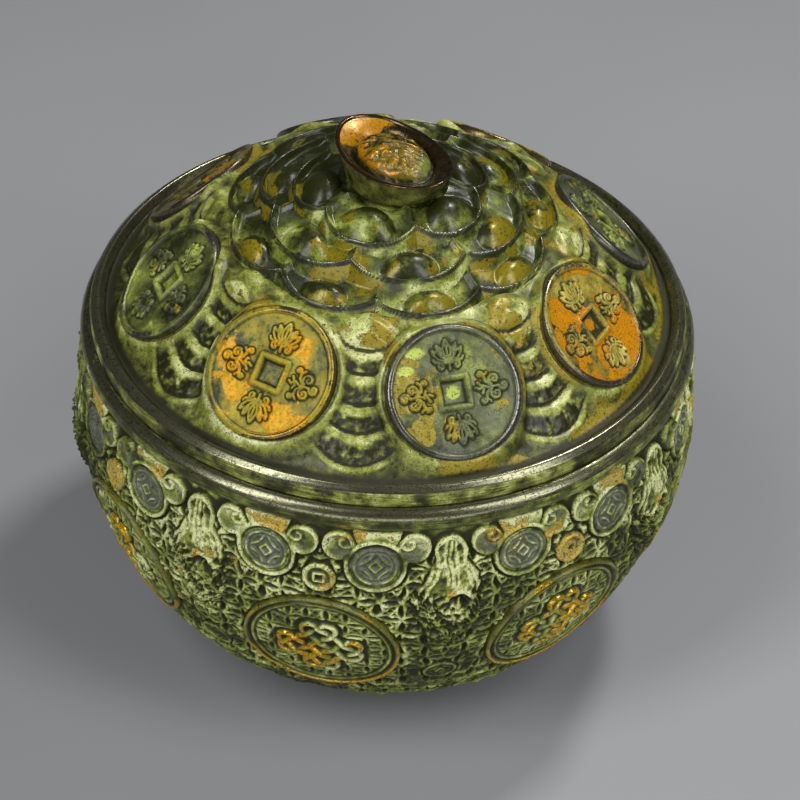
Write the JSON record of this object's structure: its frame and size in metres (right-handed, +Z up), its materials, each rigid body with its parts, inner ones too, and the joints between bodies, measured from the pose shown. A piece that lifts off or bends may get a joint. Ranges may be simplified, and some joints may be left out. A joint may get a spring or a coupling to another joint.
{
  "type": "lidded incense burner",
  "caption": "Round-bellied cast bronze incense burner with relief bowl, lift-off domed lid of coins and heaped ingots, ash liner and incense stand.",
  "frame": {"origin": "on the vertical axis, in the plane the foot ring stands on", "axes": "+Z up along the axis of the bowl and lid; the pictured front faces -Y"},
  "size_m": [0.1254, 0.1254, 0.1087],
  "materials": {
    "patina_bronze": "dark cast bronze with yellow-green patina on the high relief",
    "lid_bronze": "dark polished bronze with green patina in the hollows",
    "heap_bronze": "dark glossy bronze, yellow-green in the hollows",
    "gilt_medallion": "dark bronze with rubbed gilding on the raised work",
    "coin_green": "grey-green patina with mustard patches",
    "coin_gilt": "rubbed ochre gilding over green bronze",
    "coin_orange": "rubbed orange gilding over dark bronze",
    "coin_olive": "olive-brown patina",
    "finial_gilt": "rubbed copper-gold gilding over dark bronze",
    "liner_copper": "spun copper, dulled by heat",
    "stand_brass": "satin turned brass",
    "fixing_brass": "plain turned brass",
    "fire_mat": "off-white needled fibre pad"
  },
  "bodies": {
    "bowl": {"bowl_shell": "patina_bronze", "foot_ring": "patina_bronze", "bowl_medallion_1": "gilt_medallion", "bowl_medallion_2": "gilt_medallion", "bowl_medallion_3": "gilt_medallion", "bowl_medallion_4": "gilt_medallion", "bowl_medallion_5": "gilt_medallion", "bowl_medallion_6": "gilt_medallion", "bowl_medallion_7": "gilt_medallion", "bowl_medallion_8": "gilt_medallion"},
    "liner": {"ash_liner": "liner_copper", "fire_mat": "fire_mat"},
    "incense_stand": {"incense_plate": "stand_brass", "incense_pin": "stand_brass"},
    "lid": {"lid_shell": "lid_bronze", "lid_coin_1": "coin_green", "lid_coin_2": "coin_orange", "lid_coin_3": "coin_green", "lid_coin_4": "coin_gilt", "lid_coin_5": "coin_green", "lid_coin_6": "coin_olive", "lid_coin_7": "coin_green", "lid_coin_8": "coin_gilt", "ingot_pile": "heap_bronze", "finial_ingot": "finial_gilt", "finial_washer": "fixing_brass", "finial_nut": "fixing_brass"}
  },
  "joints": [
    {"name": "liner_lift", "type": "slide", "parent": "bowl", "child": "liner", "axis": [0, 0, 1], "range_m": [0, 0.075]},
    {"name": "stand_lift", "type": "slide", "parent": "liner", "child": "incense_stand", "axis": [0, 0, 1], "range_m": [0, 0.07]},
    {"name": "lid_lift", "type": "slide", "parent": "incense_stand", "child": "lid", "axis": [0, 0, 1], "range_m": [0, 0.1]}
  ]
}
